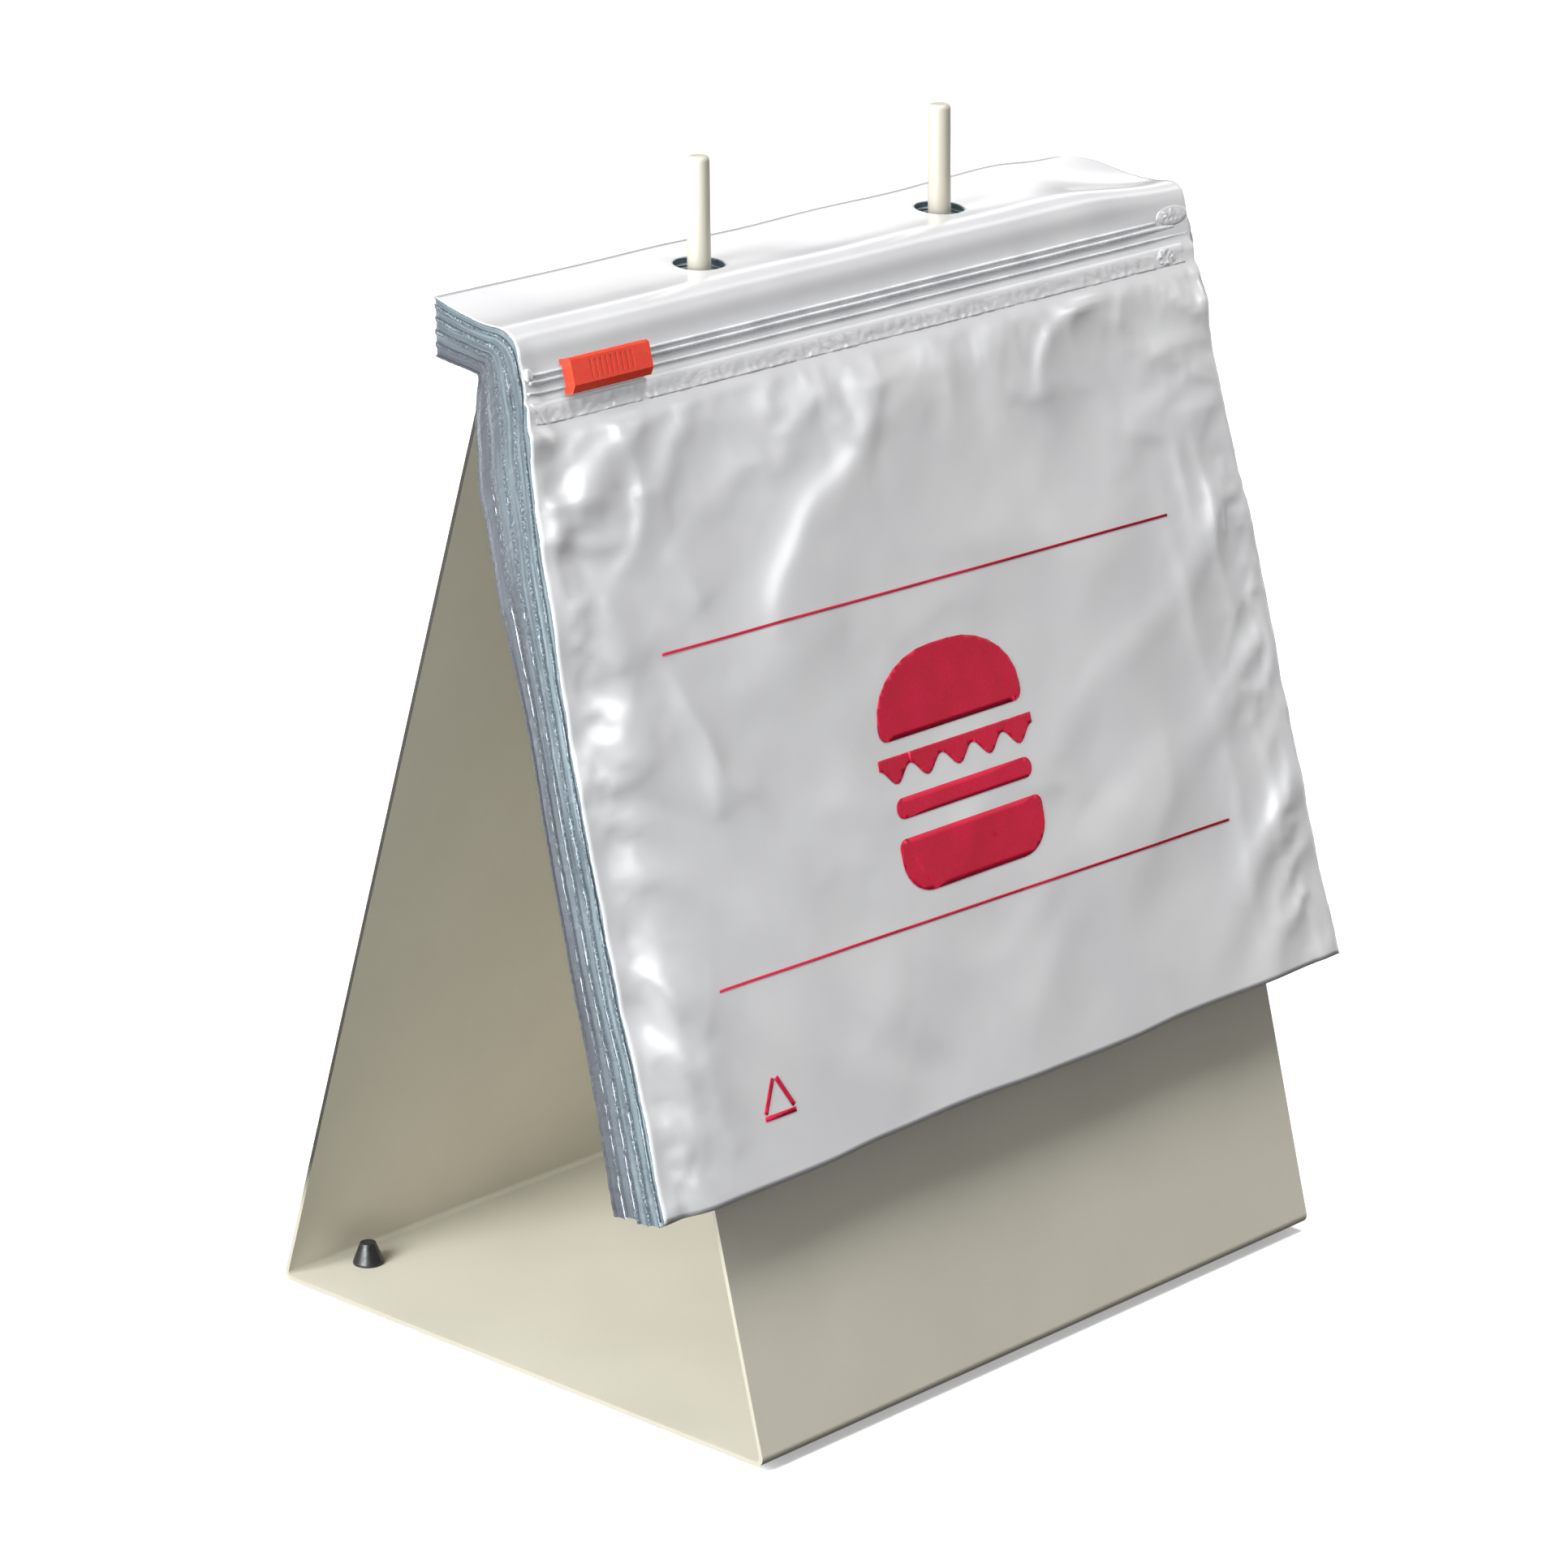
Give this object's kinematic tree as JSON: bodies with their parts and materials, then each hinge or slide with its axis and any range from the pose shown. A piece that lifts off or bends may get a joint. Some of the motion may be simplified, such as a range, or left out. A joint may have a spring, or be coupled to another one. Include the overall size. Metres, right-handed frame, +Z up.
{
  "type": "plastic bag holder",
  "caption": "Countertop A-frame holder of bent sheet steel whose top pegs carry a stack of slider bags by punched headers.",
  "frame": {"origin": "on the table, midway between the two pegs across the width and at the middle of the base depth", "axes": "+Z up, +X to the right seen from the front, +Y to the back; the bags hang on the -Y side"},
  "size_m": [0.265, 0.1814, 0.32],
  "materials": {
    "stand_paint": "satin powder coat",
    "peg_paint": "satin powder coat",
    "zinc_steel": "zinc plated",
    "foot_rubber": "matte",
    "bag_film": "milky satin film",
    "zipper_plastic": "glossy",
    "slider_red": "semi-gloss"
  },
  "bodies": {
    "stand": {"stand_shell": "stand_paint", "peg_left": "peg_paint", "peg_right": "peg_paint", "peg_washers": "zinc_steel", "peg_nuts": "zinc_steel", "foot_front_left": "foot_rubber", "foot_front_right": "foot_rubber", "foot_rear_left": "foot_rubber", "foot_rear_right": "foot_rubber"},
    "front_bag": {"front_bag_film": "bag_film", "front_bag_zipper": "zipper_plastic"},
    "front_slider": {"front_bag_slider": "slider_red"},
    "second_bag": {"second_bag_film": "bag_film", "second_bag_zipper": "zipper_plastic"},
    "second_slider": {"second_bag_slider": "slider_red"},
    "third_bag": {"third_bag_film": "bag_film", "third_bag_zipper": "zipper_plastic"},
    "third_slider": {"third_bag_slider": "slider_red"},
    "fourth_bag": {"fourth_bag_film": "bag_film", "fourth_bag_zipper": "zipper_plastic"},
    "fourth_slider": {"fourth_bag_slider": "slider_red"},
    "fifth_bag": {"fifth_bag_film": "bag_film", "fifth_bag_zipper": "zipper_plastic"},
    "fifth_slider": {"fifth_bag_slider": "slider_red"}
  },
  "joints": [
    {"name": "fifth_bag_lift", "type": "slide", "parent": "stand", "child": "fifth_bag", "axis": [0, 0, 1], "range_m": [0, 0.045]},
    {"name": "fourth_bag_lift", "type": "slide", "parent": "fifth_bag", "child": "fourth_bag", "axis": [0, 0, 1], "range_m": [0, 0.045]},
    {"name": "third_bag_lift", "type": "slide", "parent": "fourth_bag", "child": "third_bag", "axis": [0, 0, 1], "range_m": [0, 0.045]},
    {"name": "second_bag_lift", "type": "slide", "parent": "third_bag", "child": "second_bag", "axis": [0, 0, 1], "range_m": [0, 0.045]},
    {"name": "front_bag_lift", "type": "slide", "parent": "second_bag", "child": "front_bag", "axis": [0, 0, 1], "range_m": [0, 0.045]},
    {"name": "front_slider_slide", "type": "slide", "parent": "front_bag", "child": "front_slider", "axis": [1, 0, 0], "range_m": [-0.0075, 0.1975]},
    {"name": "second_slider_slide", "type": "slide", "parent": "second_bag", "child": "second_slider", "axis": [1, 0, 0], "range_m": [-0.0075, 0.1975]},
    {"name": "third_slider_slide", "type": "slide", "parent": "third_bag", "child": "third_slider", "axis": [1, 0, 0], "range_m": [-0.0075, 0.1975]},
    {"name": "fourth_slider_slide", "type": "slide", "parent": "fourth_bag", "child": "fourth_slider", "axis": [1, 0, 0], "range_m": [-0.0075, 0.1975]},
    {"name": "fifth_slider_slide", "type": "slide", "parent": "fifth_bag", "child": "fifth_slider", "axis": [1, 0, 0], "range_m": [-0.0075, 0.1975]}
  ]
}
